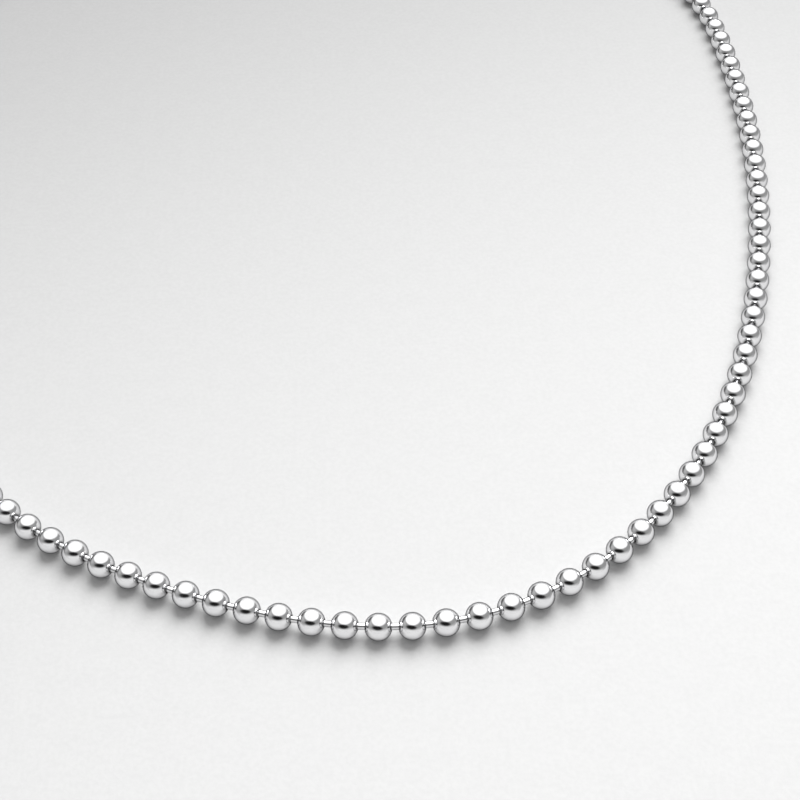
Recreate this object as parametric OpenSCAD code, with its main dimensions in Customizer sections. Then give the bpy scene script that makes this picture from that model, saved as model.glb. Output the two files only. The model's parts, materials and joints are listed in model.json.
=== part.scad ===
// A necklace of hollow metal balls, linked by pins with a head in each ball and closed by a snap coupling.
// It lies as a closed loop on a flat surface, which is z = 0. Lengths are in millimetres, and the origin
// is on that surface under the middle of the loop.

/* [Balls] */
// Number of balls on the whole chain
ball_count = 125; // [100:1:125]
// Outside diameter of a ball
ball_d = 3; // [2.8:0.1:4]
// Thickness of the sheet that a ball is pressed from
ball_wall = 0.2; // [0.15:0.05:0.25]
// Diameter of the two holes that the pins enter by
hole_d = 1.13; // [1.11:0.01:1.15]
// Clear gap between two neighbouring balls
ball_gap = 0.6; // [0.4:0.05:1]

/* [Link pins] */
// Diameter of a pin's neck, the part that shows between two balls
neck_d = 0.72; // [0.6:0.02:0.76]
// Diameter of the round head at each end of a pin
head_d = 1.18; // [1.17:0.01:1.22]
// Play between a head and the edge of the hole that holds it in
head_play = 0.14; // [0.13:0.01:0.16]

/* [Coupling] */
// Thickness of the coupling's sheet
coupling_wall = 0.2; // [0.15:0.05:0.25]
// Play between the coupling's inside and an end ball
coupling_play = 0.1; // [0.1:0.01:0.15]
// Clear gap between the two end balls inside the coupling
end_gap = 3.4; // [3.2:0.1:5]
// Diameter of the mouth in each end, which an end ball's pin comes out by
mouth_d = 1.3; // [1.2:0.05:1.6]
// Width of the slot along the top, narrower than a ball
slot_w = 0.9; // [0.8:0.1:1.2]
// Play round a ball in the round opening in the middle of the slot, where a ball is pressed in
entry_play = 0.05; // [0:0.01:0.08]

/* [Lie of the loop] */
// Distance along the route from its first point to the middle of the coupling
coupling_at = 273; // [260:0.5:290]

/* [Hidden] */
$fn = 32;

// Points that pull the loop into its lie, seen from above and in order round it: the near bend and the
// right arm, the far side with its two corners, and the left arm. The smooth closed curve that they steer
// passes close beside them.
route = [
    [-41, 16], [-18.5, 3.5], [7.5, -3], [30.5, 9],
    [44.5, 31], [52, 55], [56.5, 81], [57, 106.5],
    [55.5, 128], [42.5, 141], [25.5, 147], [2.5, 150], [-7.5, 150.5],
    [-40, 154.5], [-60.5, 144], [-67.5, 126.5], [-67, 109],
    [-59, 77], [-54, 48.5], [-50.5, 29],
];
route_steps = 24;

ball_r = ball_d / 2;
bore_r = ball_r - ball_wall;
pitch = ball_d + ball_gap;
end_pitch = ball_d + end_gap;
sleeve_r = ball_r + coupling_play;
coupling_r = sleeve_r + coupling_wall;
chain_l = (ball_count - 1) * pitch + end_pitch;

// How far a head lies from the middle of its ball, held off the edge of the hole by the play.
hole_edge = sqrt(bore_r ^ 2 - (hole_d / 2) ^ 2);
head_at = hole_edge - sqrt((head_d / 2 + head_play) ^ 2 - (hole_d / 2) ^ 2);
head_span = pitch - 2 * head_at;

// Length by which a cut runs past the metal that it cuts.
overcut = 1;

// Point of the closed cubic spline: t counts the route's points, and its fraction runs between two of them.
function spline_point(t) =
    let (
        n = len(route),
        i = floor(t),
        u = t - i,
        before = route[(i + n - 1) % n],
        start = route[i % n],
        end = route[(i + 1) % n],
        after = route[(i + 2) % n]
    )
    ((1 - u) ^ 3 * before
        + (3 * u ^ 3 - 6 * u ^ 2 + 4) * start
        + (-3 * u ^ 3 + 3 * u ^ 2 + 3 * u + 1) * end
        + u ^ 3 * after) / 6;

// Rows of length along the route and spline position, one for each small step round it.
step_count = len(route) * route_steps;
steps = [for (k = [0:step_count]) spline_point(k / route_steps)];
lengths = [
    for (
        k = 0, s = 0;
        k <= step_count;
        s = s + (k < step_count ? norm(steps[k + 1] - steps[k]) : 0), k = k + 1
    )
    [s, k / route_steps]
];
route_l = lengths[step_count][0];

// The route is drawn larger or smaller until the chain just closes on it.
route_scale = chain_l / route_l;

// Place on the flat, at a distance along the chain from the middle of the coupling.
function lie(s) =
    let (on_route = (s / route_scale + coupling_at) % route_l)
    route_scale * spline_point(lookup(on_route, lengths));

// The balls' places on the flat, from one end ball round to the other, and the middle of the loop.
flat = [for (i = [0:ball_count - 1]) lie(end_pitch / 2 + i * pitch)];
xs = [for (p = flat) p.x];
ys = [for (p = flat) p.y];
middle = [(min(xs) + max(xs)) / 2, (min(ys) + max(ys)) / 2];

// Centre of a ball. The coupling lies on the surface, and carries the end balls on its axis.
function is_end(i) = i == 0 || i == ball_count - 1;
function ball_at(i) =
    let (p = flat[i] - middle)
    [p.x, p.y, is_end(i) ? coupling_r : ball_r];

// Stands what is drawn along Z halfway between two points, and points its Z from the first to the second.
module between(from, to) {
    d = to - from;
    translate((from + to) / 2)
        rotate([0, acos(d.z / norm(d)), atan2(d.y, d.x)])
            children();
}

// One hollow ball, drilled through along Z.
module ball() {
    difference() {
        sphere(r = ball_r);
        sphere(r = bore_r);
        cylinder(d = hole_d, h = ball_d + overcut, center = true);
    }
}

// One pin along Z: a neck with a round head at each end.
module link_pin() {
    cylinder(d = neck_d, h = head_span, center = true);
    for (side = [-1, 1])
        translate([0, 0, side * head_span / 2])
            sphere(d = head_d);
}

// A round bar along Z with domed ends, whose domes are centred on the two end balls.
module domed_bar(r) {
    cylinder(r = r, h = end_pitch, center = true);
    for (side = [-1, 1])
        translate([0, 0, side * end_pitch / 2])
            sphere(r = r);
}

// Every ball of the chain, its hole in line with its neighbours on both sides.
module balls() {
    color([0.86, 0.86, 0.87])
        for (i = [0:ball_count - 1]) {
            back = ball_at(max(i - 1, 0));
            ahead = ball_at(min(i + 1, ball_count - 1));
            d = ahead - back;
            translate(ball_at(i))
                rotate([0, acos(d.z / norm(d)), atan2(d.y, d.x)])
                    ball();
        }
}

// The pins, each from one ball to the next.
module link_pins() {
    color([0.78, 0.78, 0.79])
        for (i = [0:ball_count - 2])
            between(ball_at(i), ball_at(i + 1))
                link_pin();
}

// The snap coupling: a domed sleeve round both end balls, with a mouth in each end for the pin and a slot
// along the top that widens in the middle to let a ball in. Before it is turned, its top faces -X.
module coupling() {
    slot_l = end_pitch + 2 * coupling_r + overcut;
    slot_h = coupling_r + overcut;
    color([0.82, 0.82, 0.83])
        between(ball_at(ball_count - 1), ball_at(0))
            difference() {
                domed_bar(coupling_r);
                domed_bar(sleeve_r);
                cylinder(d = mouth_d, h = slot_l, center = true);
                translate([-slot_h / 2, 0, 0])
                    cube([slot_h, slot_w, slot_l], center = true);
                translate([-slot_h / 2, 0, 0])
                    rotate([0, 90, 0])
                        cylinder(d = ball_d + 2 * entry_play, h = slot_h, center = true);
            }
}

balls();
link_pins();
coupling();
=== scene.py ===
"""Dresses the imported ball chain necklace: polished balls, link pins and a snap coupling on a pale floor."""
import json
import logging
import math
from dataclasses import dataclass
from enum import Enum

import bmesh
import bpy
import numpy as np
from mathutils import Matrix, Quaternion, Vector

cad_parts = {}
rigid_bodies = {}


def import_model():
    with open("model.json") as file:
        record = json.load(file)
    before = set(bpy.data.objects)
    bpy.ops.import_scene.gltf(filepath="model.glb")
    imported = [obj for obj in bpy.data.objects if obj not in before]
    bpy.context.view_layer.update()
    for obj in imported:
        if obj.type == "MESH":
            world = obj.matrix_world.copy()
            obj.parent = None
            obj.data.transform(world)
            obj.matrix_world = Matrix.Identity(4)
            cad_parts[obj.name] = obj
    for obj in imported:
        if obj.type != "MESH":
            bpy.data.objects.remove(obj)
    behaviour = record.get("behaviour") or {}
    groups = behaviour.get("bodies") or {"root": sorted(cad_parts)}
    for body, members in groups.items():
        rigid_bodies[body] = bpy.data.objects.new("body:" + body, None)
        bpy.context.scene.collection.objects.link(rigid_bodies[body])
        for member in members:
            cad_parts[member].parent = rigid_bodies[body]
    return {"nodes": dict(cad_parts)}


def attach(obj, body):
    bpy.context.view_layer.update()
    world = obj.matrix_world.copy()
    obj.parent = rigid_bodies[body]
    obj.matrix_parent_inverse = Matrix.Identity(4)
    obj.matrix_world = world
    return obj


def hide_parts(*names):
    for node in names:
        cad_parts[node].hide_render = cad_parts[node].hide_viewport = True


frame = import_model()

MM = 0.001
BODY = "root"
SPECK_VERTS = 50
"""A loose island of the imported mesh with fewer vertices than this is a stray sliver, not a solid."""
WELD = 1e-8
"""Vertices of a new shape that lie closer than this are one."""
CUT_WELD = 1e-7
"""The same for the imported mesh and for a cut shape."""

log = logging.getLogger("necklace")


class Slot(Enum):
    """The record's material slots."""

    BALL = "ball_metal"
    PIN = "pin_metal"
    COUPLING = "coupling_metal"


class Grain(Enum):
    """Which way the marks of making run on a piece."""

    TUMBLED = "tumbled"
    DRAWN = "drawn"
    BRUSHED = "brushed"


# ---------------------------------------------------------------- node trees


@dataclass
class Tree:
    """A small helper that adds nodes to one node tree and wires them."""

    tree: bpy.types.NodeTree

    def add(self, kind: str, **values: object) -> bpy.types.Node:
        """Adds one node.

        Args:
            kind: Blender's name of the node type.
            values: properties of the node to set.

        Returns:
            The new node.
        """
        node = self.tree.nodes.new(kind)
        for name, value in values.items():
            setattr(node, name, value)
        return node

    def feed(self, socket: bpy.types.NodeSocket, value: object) -> None:
        """Wires an output into a socket, or sets the socket's own value.

        Args:
            socket: the input socket.
            value: an output socket, or a plain value.
        """
        if isinstance(value, bpy.types.NodeSocket):
            self.tree.links.new(value, socket)
        else:
            socket.default_value = value

    def maths(self, operation: str, *values: object) -> bpy.types.NodeSocket:
        """Adds a Math node.

        Args:
            operation: the node's operation.
            values: its inputs in order, sockets or numbers.

        Returns:
            The node's output.
        """
        node = self.add("ShaderNodeMath", operation=operation)
        for socket, value in zip(node.inputs, values):
            self.feed(socket, value)
        return node.outputs[0]

    def spread(
        self, value: object, low: float, high: float, to_low: float, to_high: float
    ) -> bpy.types.NodeSocket:
        """Maps one range smoothly onto another.

        Args:
            value: the socket to map.
            low: start of the range that comes in.
            high: end of the range that comes in.
            to_low: what the start becomes.
            to_high: what the end becomes.

        Returns:
            The mapped value, kept inside the new range.
        """
        node = self.add("ShaderNodeMapRange", interpolation_type="SMOOTHSTEP")
        for name, number in (("From Min", low), ("From Max", high), ("To Min", to_low), ("To Max", to_high)):
            node.inputs[name].default_value = number
        self.feed(node.inputs["Value"], value)
        return node.outputs["Result"]

    def blend(self, share: object, first: object, second: object) -> bpy.types.NodeSocket:
        """Mixes two colours.

        Args:
            share: how much of the second colour shows, from 0 to 1.
            first: a colour or a socket.
            second: a colour or a socket.

        Returns:
            The mixed colour.
        """
        node = self.add("ShaderNodeMix", data_type="RGBA")
        self.feed(node.inputs[0], share)
        self.feed(node.inputs[6], first)
        self.feed(node.inputs[7], second)
        return node.outputs[2]

    def noise(self, place: object, scale: float, detail: float, rough: float = 0.5) -> bpy.types.NodeSocket:
        """Adds a Noise texture.

        Args:
            place: the coordinates that it reads.
            scale: patches per metre.
            detail: octaves.
            rough: how strong the finer octaves are.

        Returns:
            The noise from 0 to 1.
        """
        node = self.add("ShaderNodeTexNoise")
        self.feed(node.inputs["Vector"], place)
        node.inputs["Scale"].default_value = scale
        node.inputs["Detail"].default_value = detail
        node.inputs["Roughness"].default_value = rough
        return node.outputs[0]

    def mapped(self, place: object, scale: tuple[float, float, float]) -> bpy.types.NodeSocket:
        """Stretches coordinates.

        Args:
            place: the coordinates.
            scale: factor along each axis.

        Returns:
            The stretched coordinates.
        """
        node = self.add("ShaderNodeMapping")
        self.feed(node.inputs["Vector"], place)
        node.inputs["Scale"].default_value = scale
        return node.outputs[0]

    def dot(self, vector: object, axis: Vector) -> bpy.types.NodeSocket:
        """Adds a dot product with a fixed axis.

        Args:
            vector: the vector socket.
            axis: the axis.

        Returns:
            The product.
        """
        node = self.add("ShaderNodeVectorMath", operation="DOT_PRODUCT")
        self.feed(node.inputs[0], vector)
        node.inputs[1].default_value = axis
        return node.outputs["Value"]

    def bump(self, height: object, distance: float, normal: object = None) -> bpy.types.NodeSocket:
        """Adds a Bump node.

        Args:
            height: the height from 0 to 1.
            distance: what a height of 1 stands for, in metres.
            normal: the normal of a coarser bump under it, if any.

        Returns:
            The new normal.
        """
        node = self.add("ShaderNodeBump")
        node.inputs["Distance"].default_value = distance
        self.feed(node.inputs["Height"], height)
        if normal is not None:
            self.feed(node.inputs["Normal"], normal)
        return node.outputs[0]


def new_material(name: str) -> tuple[bpy.types.Material, Tree, bpy.types.Node]:
    """Starts a material with one Principled shader.

    Args:
        name: the material's name.

    Returns:
        The material, its node helper and the shader.
    """
    material = bpy.data.materials.new(name)
    material.use_nodes = True
    tree = Tree(material.node_tree)
    shader = next(n for n in material.node_tree.nodes if n.type == "BSDF_PRINCIPLED")
    return material, tree, shader


def bare_material(name: str) -> tuple[bpy.types.Material, Tree]:
    """Starts a material with no nodes at all.

    Args:
        name: the material's name.

    Returns:
        The material and its node helper.
    """
    material = bpy.data.materials.new(name)
    material.use_nodes = True
    material.node_tree.nodes.clear()
    return material, Tree(material.node_tree)


# ------------------------------------------------------------------ finishes


@dataclass(frozen=True)
class SteelFinish:
    """Polished stainless steel with the marks that its making leaves."""

    name: str
    grain: Grain
    bright: tuple[float, float, float, float]
    dull: tuple[float, float, float, float]
    # the colour of the painted shade in holes and hollows
    painted_shade: tuple[float, float, float, float]
    edge: tuple[float, float, float, float]
    gloss: float
    haze: float
    clouds_per_m: float = 900.0
    ripples_per_m: float = 700.0
    ripple_depth: float = 1.2e-6
    mark_depth: float = 0.5e-6
    # the painted shade's least share under the polish clouds, and how much rougher it makes the steel
    painted_shade_least: float = 0.75
    painted_shade_rough: float = 0.3

    def material(self) -> bpy.types.Material:
        """Makes the steel: cloudy polish, fine scratches, and painted shade, a darker tone in holes and
        hollows.

        Returns:
            The finished material.
        """
        material, tree, shader = new_material(self.name)
        place = tree.add("ShaderNodeTexCoord")
        around = tree.add("ShaderNodeUVMap", uv_map="along").outputs[0]
        painted_shade = tree.add("ShaderNodeAttribute", attribute_name="painted_shade").outputs["Fac"]
        cloud = tree.noise(place.outputs["Object"], self.clouds_per_m, 3.0)
        lines = self.lines(tree, place.outputs["Object"], around)
        # painted shade: blends the colour towards the dark tone wherever the mesh marks holes and hollows
        shade_share = tree.maths("MULTIPLY", painted_shade, tree.spread(cloud, 0.2, 0.8, self.painted_shade_least, 1.0))

        metal = tree.blend(tree.spread(cloud, 0.3, 0.7, 0.0, 1.0), self.bright, self.dull)
        tree.feed(shader.inputs["Base Color"], tree.blend(shade_share, metal, self.painted_shade))
        shader.inputs["Metallic"].default_value = 1.0
        shader.inputs["Specular Tint"].default_value = self.edge
        polish = tree.spread(cloud, 0.25, 0.75, self.gloss, self.gloss + self.haze)
        marked = tree.maths("MULTIPLY_ADD", lines, self.haze, polish)
        tree.feed(shader.inputs["Roughness"], tree.maths("MULTIPLY_ADD", shade_share, self.painted_shade_rough, marked))

        ripple = tree.bump(tree.noise(place.outputs["Object"], self.ripples_per_m, 1.0), self.ripple_depth)
        tree.feed(shader.inputs["Normal"], tree.bump(lines, self.mark_depth, ripple))
        return material

    def lines(self, tree: Tree, place: object, around: object) -> bpy.types.NodeSocket:
        """Draws the fine marks of making.

        Args:
            tree: the material's node helper.
            place: object coordinates.
            around: the piece's own map, once round it and in millimetres along it.

        Returns:
            The marks, from 0 to 1.
        """
        if self.grain is Grain.TUMBLED:
            first = tree.noise(tree.mapped(place, (1.0, 9.0, 4.0)), 2600.0, 4.0, 0.65)
            second = tree.noise(tree.mapped(place, (8.0, 1.0, 5.0)), 2300.0, 4.0, 0.65)
            return tree.spread(tree.maths("MAXIMUM", first, second), 0.6, 0.8, 0.0, 1.0)
        stretch = (60.0, 0.6, 1.0) if self.grain is Grain.DRAWN else (90.0, 1.4, 1.0)
        return tree.spread(tree.noise(tree.mapped(around, stretch), 1.0, 4.0, 0.6), 0.4, 0.75, 0.0, 1.0)


# Each steel's darkest tone is the colour of its painted shade.
BALL_STEEL = SteelFinish(
    name="Polished ball steel",
    grain=Grain.TUMBLED,
    bright=(0.87, 0.87, 0.875, 1.0),
    dull=(0.83, 0.83, 0.84, 1.0),
    painted_shade=(0.08, 0.077, 0.075, 1.0),
    edge=(0.0, 0.0, 0.005, 1.0),
    gloss=0.075,
    haze=0.03,
)
PIN_STEEL = SteelFinish(
    name="Drawn pin steel",
    grain=Grain.DRAWN,
    bright=(0.75, 0.75, 0.755, 1.0),
    dull=(0.65, 0.65, 0.66, 1.0),
    painted_shade=(0.08, 0.077, 0.075, 1.0),
    edge=(0.02, 0.02, 0.025, 1.0),
    gloss=0.06,
    haze=0.06,
)
COUPLING_STEEL = SteelFinish(
    name="Pressed coupling steel",
    grain=Grain.BRUSHED,
    bright=(0.85, 0.85, 0.855, 1.0),
    dull=(0.78, 0.78, 0.79, 1.0),
    painted_shade=(0.25, 0.245, 0.24, 1.0),
    edge=(0.1, 0.1, 0.11, 1.0),
    gloss=0.07,
    haze=0.08,
)


# -------------------------------------------------------- what the frame says


@dataclass
class Lie:
    """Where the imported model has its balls, pins and coupling. Everything new is placed by it."""

    nodes: dict[str, bpy.types.Object]

    def __post_init__(self) -> None:
        """Reads the balls' centres and puts them in the order of the chain, going by the pins' middles."""
        loose = [self.ball_centre(points) for points in self.islands("balls")]
        pins = [Vector(points.mean(axis=0)) for points in self.islands("link_pins")]
        self.balls: list[Vector] = self.in_order(loose, pins)

    def islands(self, node: str) -> list[np.ndarray]:
        """Splits a node's mesh into its loose solids.

        Args:
            node: the CAD node's name.

        Returns:
            The points of each solid, one row a vertex.
        """
        bm = bmesh.new()
        bm.from_mesh(self.nodes[node].data)
        bmesh.ops.remove_doubles(bm, verts=bm.verts, dist=CUT_WELD)
        seen: set[bmesh.types.BMVert] = set()
        found = []
        for first in bm.verts:
            if first in seen:
                continue
            seen.add(first)
            queue = [first]
            for vert in queue:
                for edge in vert.link_edges:
                    other = edge.other_vert(vert)
                    if other not in seen:
                        seen.add(other)
                        queue.append(other)
            if len(queue) >= SPECK_VERTS:
                found.append(np.array([v.co for v in queue]))
        bm.free()
        return found

    @staticmethod
    def ball_centre(points: np.ndarray) -> Vector:
        """Fits a sphere to a ball's outer skin.

        Args:
            points: the ball's vertices.

        Returns:
            Its centre.
        """
        reach = np.linalg.norm(points - points.mean(axis=0), axis=1)
        skin = points[reach > 0.95 * reach.max()]
        rows = np.column_stack([2 * skin, np.ones(len(skin))])
        return Vector(np.linalg.lstsq(rows, (skin**2).sum(axis=1), rcond=None)[0][:3])

    @staticmethod
    def in_order(balls: list[Vector], pins: list[Vector]) -> list[Vector]:
        """Sorts the balls from one end of the chain to the other, going from pin to pin.

        Args:
            balls: the balls' centres.
            pins: the pins' middles.

        Returns:
            The centres in order.
        """
        linked: dict[int, list[int]] = {i: [] for i in range(len(balls))}
        for pin in pins:
            one, other = sorted(range(len(balls)), key=lambda i: (balls[i] - pin).length)[:2]
            linked[one].append(other)
            linked[other].append(one)
        here = next(i for i, others in linked.items() if len(others) == 1)
        order = [here]
        while len(order) < len(balls):
            here = next(i for i in linked[here] if i not in order[-2:])
            order.append(here)
        return [balls[i] for i in order]

    def heading(self, i: int) -> Vector:
        """The direction in which a ball is drilled, in line with its neighbours.

        Args:
            i: the ball's number along the chain.

        Returns:
            A unit vector.
        """
        last = len(self.balls) - 1
        return (self.balls[min(i + 1, last)] - self.balls[max(i - 1, 0)]).normalized()

    def pin_way(self, i: int, side: int) -> Vector:
        """The direction in which a ball's pin leaves it.

        Args:
            i: the ball's number along the chain.
            side: 1 for the pin ahead, -1 for the pin behind.

        Returns:
            A unit vector. An end ball has no pin on one side, and gets its own axis there.
        """
        if 0 <= i + side < len(self.balls):
            return (self.balls[i + side] - self.balls[i]).normalized()
        return self.heading(i) * side

    @staticmethod
    def turned(place: Vector, along: Vector) -> Matrix:
        """Stands a shape that is drawn along Z at a place, its Z along a direction and its -X on top.

        Args:
            place: where its middle goes.
            along: where its Z points.

        Returns:
            The matrix that does it.
        """
        flat = math.atan2(along.y, along.x)
        lean = math.acos(max(-1.0, min(1.0, along.normalized().z)))
        return Matrix.Translation(place) @ Matrix.Rotation(flat, 4, "Z") @ Matrix.Rotation(lean, 4, "Y")


# --------------------------------------------------------------- mesh helpers


def clamped(value: float) -> float:
    """Keeps a number between 0 and 1."""
    return max(0.0, min(1.0, value))


def sweep(
    bm: bmesh.types.BMesh, vert: bmesh.types.BMVert, centre: tuple[float, float], angle: float, steps: int
) -> bmesh.types.BMVert:
    """Swings a vertex about a point of the XZ plane and leaves a run of edges behind it.

    Args:
        bm: the mesh.
        vert: the vertex to swing.
        centre: the point, as its X and Z.
        angle: how far, from Z towards X.
        steps: how many edges.

    Returns:
        The last vertex of the run.
    """
    swung = bmesh.ops.spin(
        bm, geom=[vert], cent=(centre[0], 0.0, centre[1]), axis=(0.0, 1.0, 0.0), angle=angle, steps=steps
    )
    return next(g for g in swung["geom_last"] if isinstance(g, bmesh.types.BMVert))


def stretch(bm: bmesh.types.BMesh, vert: bmesh.types.BMVert, by: float, steps: int = 1) -> bmesh.types.BMVert:
    """Draws a vertex out along Z.

    Args:
        bm: the mesh.
        vert: the vertex.
        by: how far in all.
        steps: how many edges.

    Returns:
        The last vertex.
    """
    for _ in range(steps):
        drawn = bmesh.ops.extrude_vert_indiv(bm, verts=[vert])
        vert = drawn["verts"][0]
        bmesh.ops.translate(bm, verts=[vert], vec=(0.0, 0.0, by / steps))
    return vert


def turn_round(bm: bmesh.types.BMesh, steps: int) -> None:
    """Spins the whole profile once round Z, closes the seam and the poles, and points the faces outwards.

    Args:
        bm: the mesh that holds the profile.
        steps: how many faces go round.
    """
    bmesh.ops.remove_doubles(bm, verts=bm.verts, dist=WELD)
    bmesh.ops.spin(
        bm,
        geom=bm.verts[:] + bm.edges[:],
        cent=(0.0, 0.0, 0.0),
        axis=(0.0, 0.0, 1.0),
        angle=math.tau,
        steps=steps,
        use_merge=True,
    )
    bmesh.ops.remove_doubles(bm, verts=bm.verts, dist=WELD)
    bmesh.ops.recalc_face_normals(bm, faces=bm.faces)


def lay_map(bm: bmesh.types.BMesh) -> None:
    """Gives a turned shape its map: once round it across, and millimetres along its Z upwards.

    Args:
        bm: the mesh, still drawn along Z.
    """
    layer = bm.loops.layers.uv.new("along")
    for face in bm.faces:
        middle = face.calc_center_median()
        start = math.atan2(middle.y, middle.x)
        for loop in face.loops:
            co = loop.vert.co
            turn = math.atan2(co.y, co.x) - start if co.xy.length > 1e-9 else 0.0
            turn = (turn + math.pi) % math.tau - math.pi
            loop[layer].uv = ((start + turn) / math.tau, co.z / MM)


def finish_mesh(bm: bmesh.types.BMesh, name: str) -> bpy.types.Mesh:
    """Turns a bmesh into a smooth mesh.

    Args:
        bm: the bmesh, which is freed.
        name: the mesh's name.

    Returns:
        The mesh.
    """
    for face in bm.faces:
        face.smooth = True
    mesh = bpy.data.meshes.new(name)
    bm.to_mesh(mesh)
    bm.free()
    return mesh


def add_object(name: str, mesh: bpy.types.Mesh, material: bpy.types.Material) -> bpy.types.Object:
    """Puts a mesh into the scene.

    Args:
        name: the object's name.
        mesh: its mesh, already in place.
        material: its only material.

    Returns:
        The object.
    """
    obj = bpy.data.objects.new(name, mesh)
    obj.data.materials.clear()
    obj.data.materials.append(material)
    bpy.context.scene.collection.objects.link(obj)
    return obj


def pour_into(whole: bmesh.types.BMesh, part: bmesh.types.BMesh) -> None:
    """Adds one bmesh to another.

    Args:
        whole: the bmesh that grows.
        part: the bmesh to add, which is freed.
    """
    mesh = bpy.data.meshes.new("part")
    part.to_mesh(mesh)
    part.free()
    whole.from_mesh(mesh)
    bpy.data.meshes.remove(mesh)


def take_place(obj: bpy.types.Object, node: str) -> None:
    """Makes a piece stand for a CAD node.

    Args:
        obj: the piece.
        node: the node that it stands for.
    """
    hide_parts(node)
    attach(obj, BODY)
    log.info("%s: %d faces, stands for %s", obj.name, len(obj.data.polygons), node)


# --------------------------------------------------------------------- pieces


@dataclass
class BallRun:
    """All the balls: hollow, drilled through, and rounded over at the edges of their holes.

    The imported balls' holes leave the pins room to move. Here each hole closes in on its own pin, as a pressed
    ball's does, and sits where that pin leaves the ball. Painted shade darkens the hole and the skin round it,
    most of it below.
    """

    lie: Lie
    outer_r: float = 1.5 * MM
    wall: float = 0.2 * MM
    throat_r: float = 0.39 * MM
    lip_r: float = 0.101 * MM
    around: int = 28
    outer_steps: int = 14
    inner_steps: int = 4
    lip_steps: int = 4
    shade_reach: float = 0.2 * MM
    shade_above: float = 0.25
    shade_beside: float = 0.8
    shade_slope: float = 0.9
    shade_depth: float = 0.3
    slide_from: float = 0.2
    slide_over: float = 0.6

    def one(self) -> bpy.types.Mesh:
        """Turns one ball about Z.

        Returns:
            Its mesh, centred on the origin.
        """
        bm = bmesh.new()
        inner_r = self.outer_r - self.wall
        roll_r = self.outer_r - self.lip_r
        polar = math.asin((self.throat_r + self.lip_r) / roll_r)
        roll = (roll_r * math.sin(polar), roll_r * math.cos(polar))
        rest = math.acos((roll_r**2 + self.lip_r**2 - inner_r**2) / (2 * roll_r * self.lip_r))
        inner_polar = polar - math.asin(self.lip_r * math.sin(rest) / inner_r)
        vert = bm.verts.new((self.outer_r * math.sin(polar), 0.0, self.outer_r * math.cos(polar)))
        vert = sweep(bm, vert, (0.0, 0.0), math.pi - 2 * polar, self.outer_steps)
        vert = sweep(bm, vert, (roll[0], -roll[1]), math.pi - rest, self.lip_steps)
        vert = sweep(bm, vert, (0.0, 0.0), 2 * inner_polar - math.pi, self.inner_steps)
        sweep(bm, vert, roll, math.pi - rest, self.lip_steps)
        turn_round(bm, self.around)
        lay_map(bm)
        # painted shade: dark inside the holes, fading over the skin round them, and heaviest on the underside
        painted_shade = bm.verts.layers.float.new("painted_shade")
        for v in bm.verts:
            off = v.co.xy.length
            near = clamped(1.0 - (off - self.throat_r - self.lip_r) / self.shade_reach)
            below = clamped(self.shade_beside + self.shade_slope * v.co.x / off)
            inside = v.co.length < inner_r + self.shade_depth * self.wall
            v[painted_shade] = 1.0 if inside else near * (self.shade_above + (1.0 - self.shade_above) * below)
        return finish_mesh(bm, "ball")

    def slide_hole(self, ball: bmesh.types.BMesh, side: int, way: Vector) -> None:
        """Slides one of a ball's holes round the ball's middle. The skin stays a sphere.

        Args:
            ball: the ball, centred on the origin and drilled along Z.
            side: 1 for the hole on +Z, -1 for the one on -Z.
            way: where the hole has to point.
        """
        axis, angle = Vector((0.0, 0.0, side)).rotation_difference(way).to_axis_angle()
        for v in ball.verts:
            lean = clamped((side * v.co.normalized().z - self.slide_from) / self.slide_over)
            v.co = Quaternion(axis, angle * lean * lean * (3.0 - 2.0 * lean)) @ v.co

    def build(self) -> bpy.types.Object:
        """Sets a ball at every place of the chain, its holes slid to meet their pins.

        Returns:
            The finished piece.
        """
        template = self.one()
        chain = bmesh.new()
        for i, centre in enumerate(self.lie.balls):
            place = Lie.turned(centre, self.lie.heading(i))
            ball = bmesh.new()
            ball.from_mesh(template)
            for side in (1, -1):
                self.slide_hole(ball, side, place.to_3x3().inverted() @ self.lie.pin_way(i, side))
            bmesh.ops.transform(ball, matrix=place, verts=ball.verts)
            pour_into(chain, ball)
        obj = add_object("chain_balls", finish_mesh(chain, "chain_balls"), BALL_STEEL.material())
        take_place(obj, "balls")
        return obj


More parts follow.
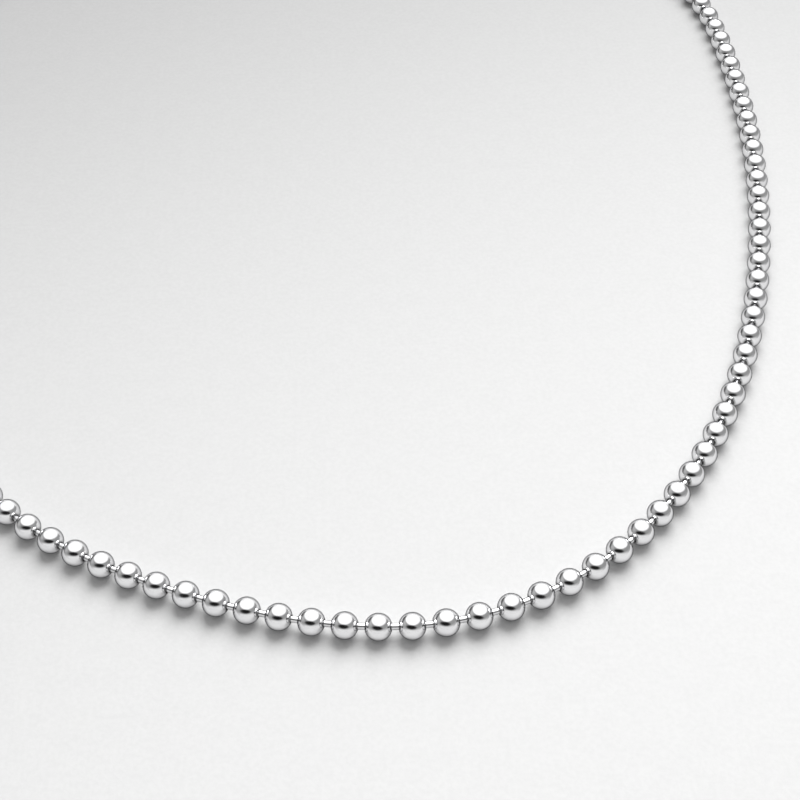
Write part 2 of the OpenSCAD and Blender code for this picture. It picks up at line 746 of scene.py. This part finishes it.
@dataclass
class PinRun:
    """All the link pins: a neck with a round head at each end, joined to it by a fillet."""

    lie: Lie
    neck_r: float = 0.36 * MM
    head_r: float = 0.59 * MM
    fillet_r: float = 0.1 * MM
    head_in: float = 0.7085 * MM
    around: int = 14
    head_steps: int = 6
    fillet_steps: int = 2
    shade_from: float = 0.42 * MM
    shade_fade: float = 0.2 * MM

    def one(self, span: float) -> bpy.types.Mesh:
        """Turns one pin about Z.

        Args:
            span: distance between the middles of its heads.

        Returns:
            Its mesh, centred on the origin.
        """
        bm = bmesh.new()
        top = span / 2
        to_fillet = self.head_r + self.fillet_r
        out = self.neck_r + self.fillet_r
        lean = math.asin(out / to_fillet)
        down = top - to_fillet * math.cos(lean)
        vert = bm.verts.new((0.0, 0.0, top + self.head_r))
        vert = sweep(bm, vert, (0.0, top), math.pi - lean, self.head_steps)
        vert = sweep(bm, vert, (out, down), -(math.pi / 2 - lean), self.fillet_steps)
        stretch(bm, vert, -vert.co.z, 2)
        turn_round(bm, self.around)
        bmesh.ops.mirror(bm, geom=bm.verts[:] + bm.edges[:] + bm.faces[:], axis="Z", merge_dist=WELD)
        bmesh.ops.remove_doubles(bm, verts=bm.verts, dist=WELD)
        bmesh.ops.recalc_face_normals(bm, faces=bm.faces)
        lay_map(bm)
        # painted shade: the pin darkens from where it enters a ball out to its heads
        painted_shade = bm.verts.layers.float.new("painted_shade")
        for v in bm.verts:
            v[painted_shade] = clamped((abs(v.co.z) - self.shade_from) / self.shade_fade)
        return finish_mesh(bm, "pin")

    def build(self) -> bpy.types.Object:
        """Sets a pin between each ball and the next.

        Returns:
            The finished piece.
        """
        bm_all = bmesh.new()
        for one, other in zip(self.lie.balls, self.lie.balls[1:]):
            step = other - one
            template = self.one(step.length - 2 * self.head_in)
            template.transform(Lie.turned((one + other) / 2, step))
            bm_all.from_mesh(template)
            bpy.data.meshes.remove(template)
        obj = add_object("chain_pins", finish_mesh(bm_all, "chain_pins"), PIN_STEEL.material())
        take_place(obj, "link_pins")
        return obj


@dataclass
class Coupling:
    """The snap coupling: a domed sleeve with rounded mouths and a keyhole slot along the top."""

    lie: Lie
    outer_r: float = 1.8 * MM
    wall: float = 0.2 * MM
    mouth_r: float = 0.65 * MM
    slot_w: float = 0.9 * MM
    entry_r: float = 1.55 * MM
    edge: float = 0.045 * MM
    around: int = 72
    dome_steps: int = 14
    inner_steps: int = 14
    length_steps: int = 12
    lip_steps: int = 4
    entry_around: int = 64
    sharp_from: float = math.radians(40)
    shade_depth: float = 0.7

    def sleeve(self, span: float) -> bpy.types.Mesh:
        """Turns the sleeve about Z, without its slot.

        Args:
            span: distance between the middles of its domes.

        Returns:
            Its mesh.
        """
        bm = bmesh.new()
        lip_r = self.wall / 2
        middle_r = self.outer_r - lip_r
        polar = math.asin((self.mouth_r + lip_r) / middle_r)
        half = span / 2
        lip = (middle_r * math.sin(polar), half + middle_r * math.cos(polar))
        quarter = math.pi / 2 - polar
        vert = bm.verts.new((self.outer_r * math.sin(polar), 0.0, half + self.outer_r * math.cos(polar)))
        vert = sweep(bm, vert, (0.0, half), quarter, self.dome_steps)
        vert = stretch(bm, vert, -span, self.length_steps)
        vert = sweep(bm, vert, (0.0, -half), quarter, self.dome_steps)
        vert = sweep(bm, vert, (lip[0], -lip[1]), math.pi, self.lip_steps)
        vert = sweep(bm, vert, (0.0, -half), -quarter, self.inner_steps)
        vert = stretch(bm, vert, span, self.length_steps)
        vert = sweep(bm, vert, (0.0, half), -quarter, self.inner_steps)
        sweep(bm, vert, lip, math.pi, self.lip_steps)
        turn_round(bm, self.around)
        return finish_mesh(bm, "sleeve")

    def cutters(self, span: float) -> list[bpy.types.Mesh]:
        """Draws what is cut out of the sleeve: the slot along the top and the round entry in its middle.

        Args:
            span: distance between the middles of the domes.

        Returns:
            One mesh for each cut.
        """
        reach = self.outer_r + MM
        slot = bmesh.new()
        bmesh.ops.create_cube(slot, size=1.0)
        bmesh.ops.scale(slot, vec=(reach, self.slot_w, span + 2 * reach), verts=slot.verts)
        bmesh.ops.translate(slot, vec=(-reach / 2, 0.0, 0.0), verts=slot.verts)
        entry = bmesh.new()
        bmesh.ops.create_cone(
            entry, cap_ends=True, segments=self.entry_around, radius1=self.entry_r, radius2=self.entry_r,
            depth=reach,
            matrix=Matrix.Translation((-reach / 2, 0.0, 0.0)) @ Matrix.Rotation(math.pi / 2, 4, "Y"),
        )
        return [finish_mesh(slot, "slot"), finish_mesh(entry, "entry")]

    def cut(self, sleeve: bpy.types.Mesh, cutters: list[bpy.types.Mesh]) -> bpy.types.Mesh:
        """Cuts the slot and the entry with Boolean modifiers.

        Args:
            sleeve: the closed sleeve.
            cutters: the shapes to take away.

        Returns:
            The cut mesh.
        """
        scene = bpy.context.scene.collection.objects
        body = bpy.data.objects.new("sleeve", sleeve)
        scene.link(body)
        tools = []
        for mesh in cutters:
            tool = bpy.data.objects.new("cutter", mesh)
            scene.link(tool)
            tools.append(tool)
            step = body.modifiers.new("cut", "BOOLEAN")
            step.operation, step.solver, step.object = "DIFFERENCE", "EXACT", tool
        bpy.context.view_layer.update()
        ready = body.evaluated_get(bpy.context.evaluated_depsgraph_get())
        mesh = bpy.data.meshes.new_from_object(ready)
        for obj in (*tools, body):
            bpy.data.objects.remove(obj)
        return mesh

    def build(self) -> bpy.types.Object:
        """Cuts the sleeve, breaks its sharp edges and lays it over the two end balls.

        Returns:
            The finished piece.
        """
        first, last = self.lie.balls[0], self.lie.balls[-1]
        span = (first - last).length
        bm = bmesh.new()
        bm.from_mesh(self.cut(self.sleeve(span), self.cutters(span)))
        bmesh.ops.remove_doubles(bm, verts=bm.verts, dist=CUT_WELD)
        bmesh.ops.dissolve_degenerate(bm, edges=bm.edges, dist=CUT_WELD)
        sharp = [e for e in bm.edges if len(e.link_faces) == 2 and e.calc_face_angle() > self.sharp_from]
        bmesh.ops.bevel(
            bm, geom=sharp, offset=self.edge, offset_type="OFFSET", segments=3, profile=0.5,
            affect="EDGES", clamp_overlap=True, material=-1,
        )
        bmesh.ops.recalc_face_normals(bm, faces=bm.faces)
        lay_map(bm)
        # painted shade: the whole inside of the sleeve is marked dark
        painted_shade = bm.verts.layers.float.new("painted_shade")
        for v in bm.verts:
            off = Vector((v.co.x, v.co.y, v.co.z - max(-span / 2, min(span / 2, v.co.z))))
            v[painted_shade] = 1.0 if off.length < self.outer_r - self.shade_depth * self.wall else 0.0
        bmesh.ops.transform(bm, matrix=Lie.turned((first + last) / 2, first - last), verts=bm.verts)
        obj = add_object("snap_coupling", finish_mesh(bm, "snap_coupling"), COUPLING_STEEL.material())
        take_place(obj, "coupling")
        return obj


# --------------------------------------------------------------------- studio


def towards(turn: float, lift: float) -> Vector:
    """Gives a direction by its turn from +Y towards +X and its height above the floor.

    Args:
        turn: the turn in radians.
        lift: the height in radians.

    Returns:
        A unit vector.
    """
    return Vector((math.cos(lift) * math.sin(turn), math.cos(lift) * math.cos(turn), math.sin(lift)))


@dataclass(frozen=True)
class Patch:
    """A bright or dark part of the light tent, with a soft edge. Its angles are in degrees."""

    name: str
    azimuth: float
    height: float
    half_width: float
    half_height: float
    edge: float
    tone: float

    def mask(self, tree: Tree, heading: bpy.types.NodeSocket) -> bpy.types.NodeSocket:
        """Works out how much of a place on the tent lies in the patch.

        Args:
            tree: the node helper of the tent's material.
            heading: unit direction from the necklace to the place.

        Returns:
            1 inside the patch, 0 outside it.
        """
        turn, lift = math.radians(self.azimuth), math.radians(self.height)
        centre = towards(turn, lift)
        across = Vector((math.cos(turn), -math.sin(turn), 0.0)) / math.sin(math.radians(self.half_width))
        upwards = Vector((-math.sin(lift) * math.sin(turn), -math.sin(lift) * math.cos(turn), math.cos(lift)))
        upwards /= math.sin(math.radians(self.half_height))
        along, up, facing = (tree.dot(heading, axis) for axis in (across, upwards, centre))
        reach = tree.maths("SQRT", tree.maths("MULTIPLY_ADD", along, along, tree.maths("MULTIPLY", up, up)))
        inside = tree.spread(reach, 1.0 - self.edge, 1.0 + self.edge, 1.0, 0.0)
        return tree.maths("MULTIPLY", inside, tree.maths("GREATER_THAN", facing, 0.0))


@dataclass
class Tent:
    """The light tent: a large dome that the camera doesn't see, and that glows in soft patches."""

    radius: float = 2.8
    around: int = 32
    rings: int = 12
    rim_up: float = 0.001
    base: float = 0.34
    patches: tuple[Patch, ...] = (
        Patch("front bounce", 180.0, 3.0, 66.0, 26.0, 0.25, 0.86),
        Patch("left glow", -88.0, 26.0, 32.0, 13.0, 0.5, 0.52),
        Patch("left gap", -48.0, 6.0, 26.0, 15.0, 0.5, 0.12),
        Patch("back wall", 12.0, 6.0, 36.0, 16.0, 0.25, 1.05),
        Patch("front gap", 195.0, 38.0, 55.0, 16.0, 0.5, 0.24),
        Patch("overhead silk", 14.0, 64.5, 52.0, 56.0, 0.07, 1.2),
    )

    def build(self) -> bpy.types.Object:
        """Makes the dome.

        Returns:
            The dome.
        """
        bm = bmesh.new()
        bmesh.ops.create_uvsphere(bm, u_segments=self.around, v_segments=2 * self.rings, radius=self.radius)
        bmesh.ops.bisect_plane(
            bm, geom=bm.verts[:] + bm.edges[:] + bm.faces[:], plane_co=(0.0, 0.0, self.rim_up),
            plane_no=(0.0, 0.0, 1.0), clear_inner=True,
        )
        bmesh.ops.reverse_faces(bm, faces=bm.faces[:])
        dome = add_object("tent", finish_mesh(bm, "tent"), self.glow())
        dome.visible_camera = False
        return dome

    def glow(self) -> bpy.types.Material:
        """Paints the patches over the even base tone.

        Returns:
            The dome's material.
        """
        material, tree = bare_material("Tent silk")
        spot = tree.add("ShaderNodeVectorMath", operation="NORMALIZE")
        tree.feed(spot.inputs[0], tree.add("ShaderNodeTexCoord").outputs["Object"])
        tone: object = self.base
        for patch in self.patches:
            mix = tree.add("ShaderNodeMix", data_type="FLOAT")
            tree.feed(mix.inputs[0], patch.mask(tree, spot.outputs[0]))
            tree.feed(mix.inputs[2], tone)
            tree.feed(mix.inputs[3], patch.tone)
            tone = mix.outputs[0]
        lit = tree.add("ShaderNodeEmission")
        tree.feed(lit.inputs["Strength"], tone)
        tree.feed(tree.add("ShaderNodeOutputMaterial").inputs["Surface"], lit.outputs[0])
        return material


@dataclass
class LensCard:
    """The dark card round the lens, which the balls mirror as a dark band. The camera looks through it.

    Its angles are in degrees and its lengths in millimetres.
    """

    azimuth: float = 193.0
    height: float = 43.5
    distance: float = 165.0
    over: tuple[float, float, float] = (8.9, -73.6, 1.5)
    half_width: float = 136.0
    half_height: float = 44.0
    edge: float = 0.45
    tone: float = 0.01

    def build(self) -> bpy.types.Object:
        """Stands the card square to the near bend.

        Returns:
            The card.
        """
        turn, lift = math.radians(self.azimuth), math.radians(self.height)
        away = towards(turn, lift)
        across = Vector((math.cos(turn), -math.sin(turn), 0.0))
        upwards = across.cross(away)
        middle = Vector(self.over) + away * self.distance
        bm = bmesh.new()
        bmesh.ops.create_grid(bm, x_segments=1, y_segments=1, size=1.0 + self.edge)
        layer = bm.loops.layers.uv.new("reach")
        for face in bm.faces:
            for loop in face.loops:
                loop[layer].uv = loop.vert.co.xy
        for v in bm.verts:
            v.co = (middle + across * (v.co.x * self.half_width) + upwards * (v.co.y * self.half_height)) * MM
        card = add_object("lens_card", finish_mesh(bm, "lens_card"), self.black())
        card.visible_camera = False
        card.visible_diffuse = False
        card.visible_shadow = False
        return card

    def black(self) -> bpy.types.Material:
        """Makes black cloth that thins out towards the card's edge.

        Returns:
            The card's material.
        """
        material, tree = bare_material("Black cloth")
        span = tree.add("ShaderNodeVectorMath", operation="LENGTH")
        tree.feed(span.inputs[0], tree.add("ShaderNodeUVMap", uv_map="reach").outputs[0])
        cover = tree.spread(span.outputs["Value"], 1.0 - self.edge, 1.0 + self.edge, 1.0, 0.0)
        cloth = tree.add("ShaderNodeBsdfDiffuse")
        cloth.inputs["Color"].default_value = (self.tone, self.tone, self.tone, 1.0)
        mix = tree.add("ShaderNodeMixShader")
        tree.feed(mix.inputs[0], cover)
        tree.feed(mix.inputs[1], tree.add("ShaderNodeBsdfTransparent").outputs[0])
        tree.feed(mix.inputs[2], cloth.outputs[0])
        tree.feed(tree.add("ShaderNodeOutputMaterial").inputs["Surface"], mix.outputs[0])
        return material


@dataclass
class KeyLamp:
    """The large round lamp high behind the necklace, whose soft shadows fall towards the viewer.

    Its angles are in degrees and its lengths in millimetres.
    """

    aside: float = 19.0
    height: float = 52.0
    distance: float = 900.0
    over: tuple[float, float, float] = (8.9, -73.6, 1.5)
    size: float = 860.0
    power: float = 14.6

    def build(self) -> bpy.types.Object:
        """Hangs the lamp square to the near bend.

        Returns:
            The lamp.
        """
        turn, lift = math.radians(self.aside), math.radians(self.height)
        away = towards(turn, lift)
        data = bpy.data.lights.new("key", "AREA")
        data.energy, data.shape, data.size = self.power, "DISK", self.size * MM
        lamp = bpy.data.objects.new("key", data)
        lamp.visible_camera = False
        place = (Vector(self.over) + away * self.distance) * MM
        lamp.matrix_world = Matrix.Translation(place) @ away.to_track_quat("Z", "Y").to_matrix().to_4x4()
        bpy.context.scene.collection.objects.link(lamp)
        return lamp


@dataclass
class Studio:
    """The pale floor, the soft light round it and the camera.

    The floor's size is in metres, and the other lengths are in millimetres.
    """

    floor_size: float = 6.0
    board: float = 0.46
    board_far: float = 0.24
    board_rough: float = 0.9
    board_shine: float = 0.05
    tooth_per_m: float = 1700.0
    tooth_depth: float = 1.5e-5
    mottle_per_m: float = 420.0
    pool_middle: tuple[float, float, float] = (153.0, -322.0, 0.0)
    pool_from: float = 251.0
    pool_to: float = 491.0
    rim_gain: float = 0.13
    rim_from: float = 470.0
    rim_to: float = 760.0
    camera_place: tuple[float, float, float] = (8.57, -173.225, 132.37)
    look_down: float = math.radians(44.987)
    roll: float = math.radians(-3.08)
    lens: float = 68.73
    sensor: float = 36.0
    nearest: float = 1.0
    air: float = 0.6
    # the painted floor reflection: how much of the sheet glows, its glow over the board's tone, and its height
    bounce: float = 0.42
    painted_reflection_gain: float = 1.85
    painted_reflection_lift: float = 0.005

    def painted_light_tone(self, tree: Tree, place: object) -> bpy.types.NodeSocket:
        """The board's tone with painted light: a painted pool of light that falls away from the near right, and
        a painted lift far out.

        Args:
            tree: the material's node helper.
            place: object coordinates.

        Returns:
            The tone.
        """
        off = tree.add("ShaderNodeVectorMath", operation="DISTANCE")
        tree.feed(off.inputs[0], place)
        off.inputs[1].default_value = Vector(self.pool_middle) * MM
        reach = off.outputs["Value"]
        tone = tree.spread(reach, self.pool_from * MM, self.pool_to * MM, self.board, self.board_far)
        rim = tree.spread(reach, self.rim_from * MM, self.rim_to * MM, 0.0, self.rim_gain)
        return tree.maths("ADD", tone, rim)

    def painted_reflection_sheet(self) -> bpy.types.Object:
        """Lays a thin glowing sheet on the floor that only the metal mirrors: a painted reflection of a
        brighter floor, which lifts the metal's dark lower rims.

        Returns:
            The sheet.
        """
        bm = bmesh.new()
        bmesh.ops.create_grid(bm, x_segments=1, y_segments=1, size=self.floor_size / 2)
        bmesh.ops.translate(bm, vec=(0.0, 0.0, self.painted_reflection_lift * MM), verts=bm.verts)
        material, tree = bare_material("Painted reflection glow")
        material.cycles.emission_sampling = "NONE"
        place = tree.add("ShaderNodeTexCoord").outputs["Object"]
        # painted reflection: glows with the board's painted tone, brightened, and is seen only in the metal
        lit = tree.add("ShaderNodeEmission")
        glow = tree.maths("MULTIPLY", self.painted_light_tone(tree, place), self.painted_reflection_gain)
        tree.feed(lit.inputs["Strength"], glow)
        mix = tree.add("ShaderNodeMixShader")
        mix.inputs[0].default_value = self.bounce
        tree.feed(mix.inputs[1], tree.add("ShaderNodeBsdfTransparent").outputs[0])
        tree.feed(mix.inputs[2], lit.outputs[0])
        tree.feed(tree.add("ShaderNodeOutputMaterial").inputs["Surface"], mix.outputs[0])
        sheet = add_object("painted_reflection_sheet", finish_mesh(bm, "painted_reflection_sheet"), material)
        sheet.visible_camera = False
        sheet.visible_diffuse = False
        sheet.visible_shadow = False
        return sheet

    def floor(self) -> bpy.types.Object:
        """Lays the floor: pale board with a fine tooth, its colour carrying a painted pool of light.

        Returns:
            The floor.
        """
        bm = bmesh.new()
        bmesh.ops.create_grid(bm, x_segments=1, y_segments=1, size=self.floor_size / 2)
        material, tree, shader = new_material("Pale board")
        place = tree.add("ShaderNodeTexCoord").outputs["Object"]
        tooth = tree.noise(place, self.tooth_per_m, 3.0, 0.6)
        mottle = tree.spread(tree.noise(place, self.mottle_per_m, 1.0), 0.25, 0.75, 0.993, 1.007)
        # painted light: the pool of light and the far lift are in the board's colour
        tone = tree.maths("MULTIPLY", self.painted_light_tone(tree, place), mottle)
        shade = tree.maths("MULTIPLY", tone, tree.spread(tooth, 0.3, 0.7, 0.98, 1.02))
        tree.feed(shader.inputs["Base Color"], shade)
        shader.inputs["Roughness"].default_value = self.board_rough
        shader.inputs["Specular IOR Level"].default_value = self.board_shine
        tree.feed(shader.inputs["Normal"], tree.bump(tooth, self.tooth_depth))
        floor = add_object("floor", finish_mesh(bm, "floor"), material)
        return floor

    def world(self) -> None:
        """Fills the room with an even grey glow."""
        world = bpy.data.worlds.new("studio")
        world.use_nodes = True
        back = next(n for n in world.node_tree.nodes if n.type == "BACKGROUND")
        back.inputs["Color"].default_value = (self.air, self.air, self.air, 1.0)
        bpy.context.scene.world = world
        bpy.context.scene.view_settings.view_transform = "Standard"

    def camera(self) -> bpy.types.Object:
        """Sets the camera at the photo's angle.

        Returns:
            The camera.
        """
        lens = bpy.data.cameras.new("camera")
        lens.lens, lens.sensor_width, lens.sensor_fit = self.lens, self.sensor, "HORIZONTAL"
        lens.clip_start = self.nearest * MM
        camera = bpy.data.objects.new("camera", lens)
        bpy.context.scene.collection.objects.link(camera)
        tilt = Matrix.Rotation(math.pi / 2 - self.look_down, 4, "X")
        camera.matrix_world = (
            Matrix.Translation(Vector(self.camera_place) * MM) @ tilt @ Matrix.Rotation(self.roll, 4, "Z")
        )
        bpy.context.scene.camera = camera
        return camera

    def build(self) -> None:
        """Sets up floor, light and camera."""
        self.floor()
        self.painted_reflection_sheet()
        Tent().build()
        LensCard().build()
        KeyLamp().build()
        self.world()
        self.camera()


def main() -> None:
    """Builds every piece in order."""
    logging.basicConfig(level=logging.INFO, format="%(name)s: %(message)s")
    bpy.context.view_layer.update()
    lie = Lie(frame["nodes"])
    log.info("the frame has %d balls", len(lie.balls))
    BallRun(lie).build()
    PinRun(lie).build()
    Coupling(lie).build()
    Studio().build()


if __name__ == "__main__":
    main()
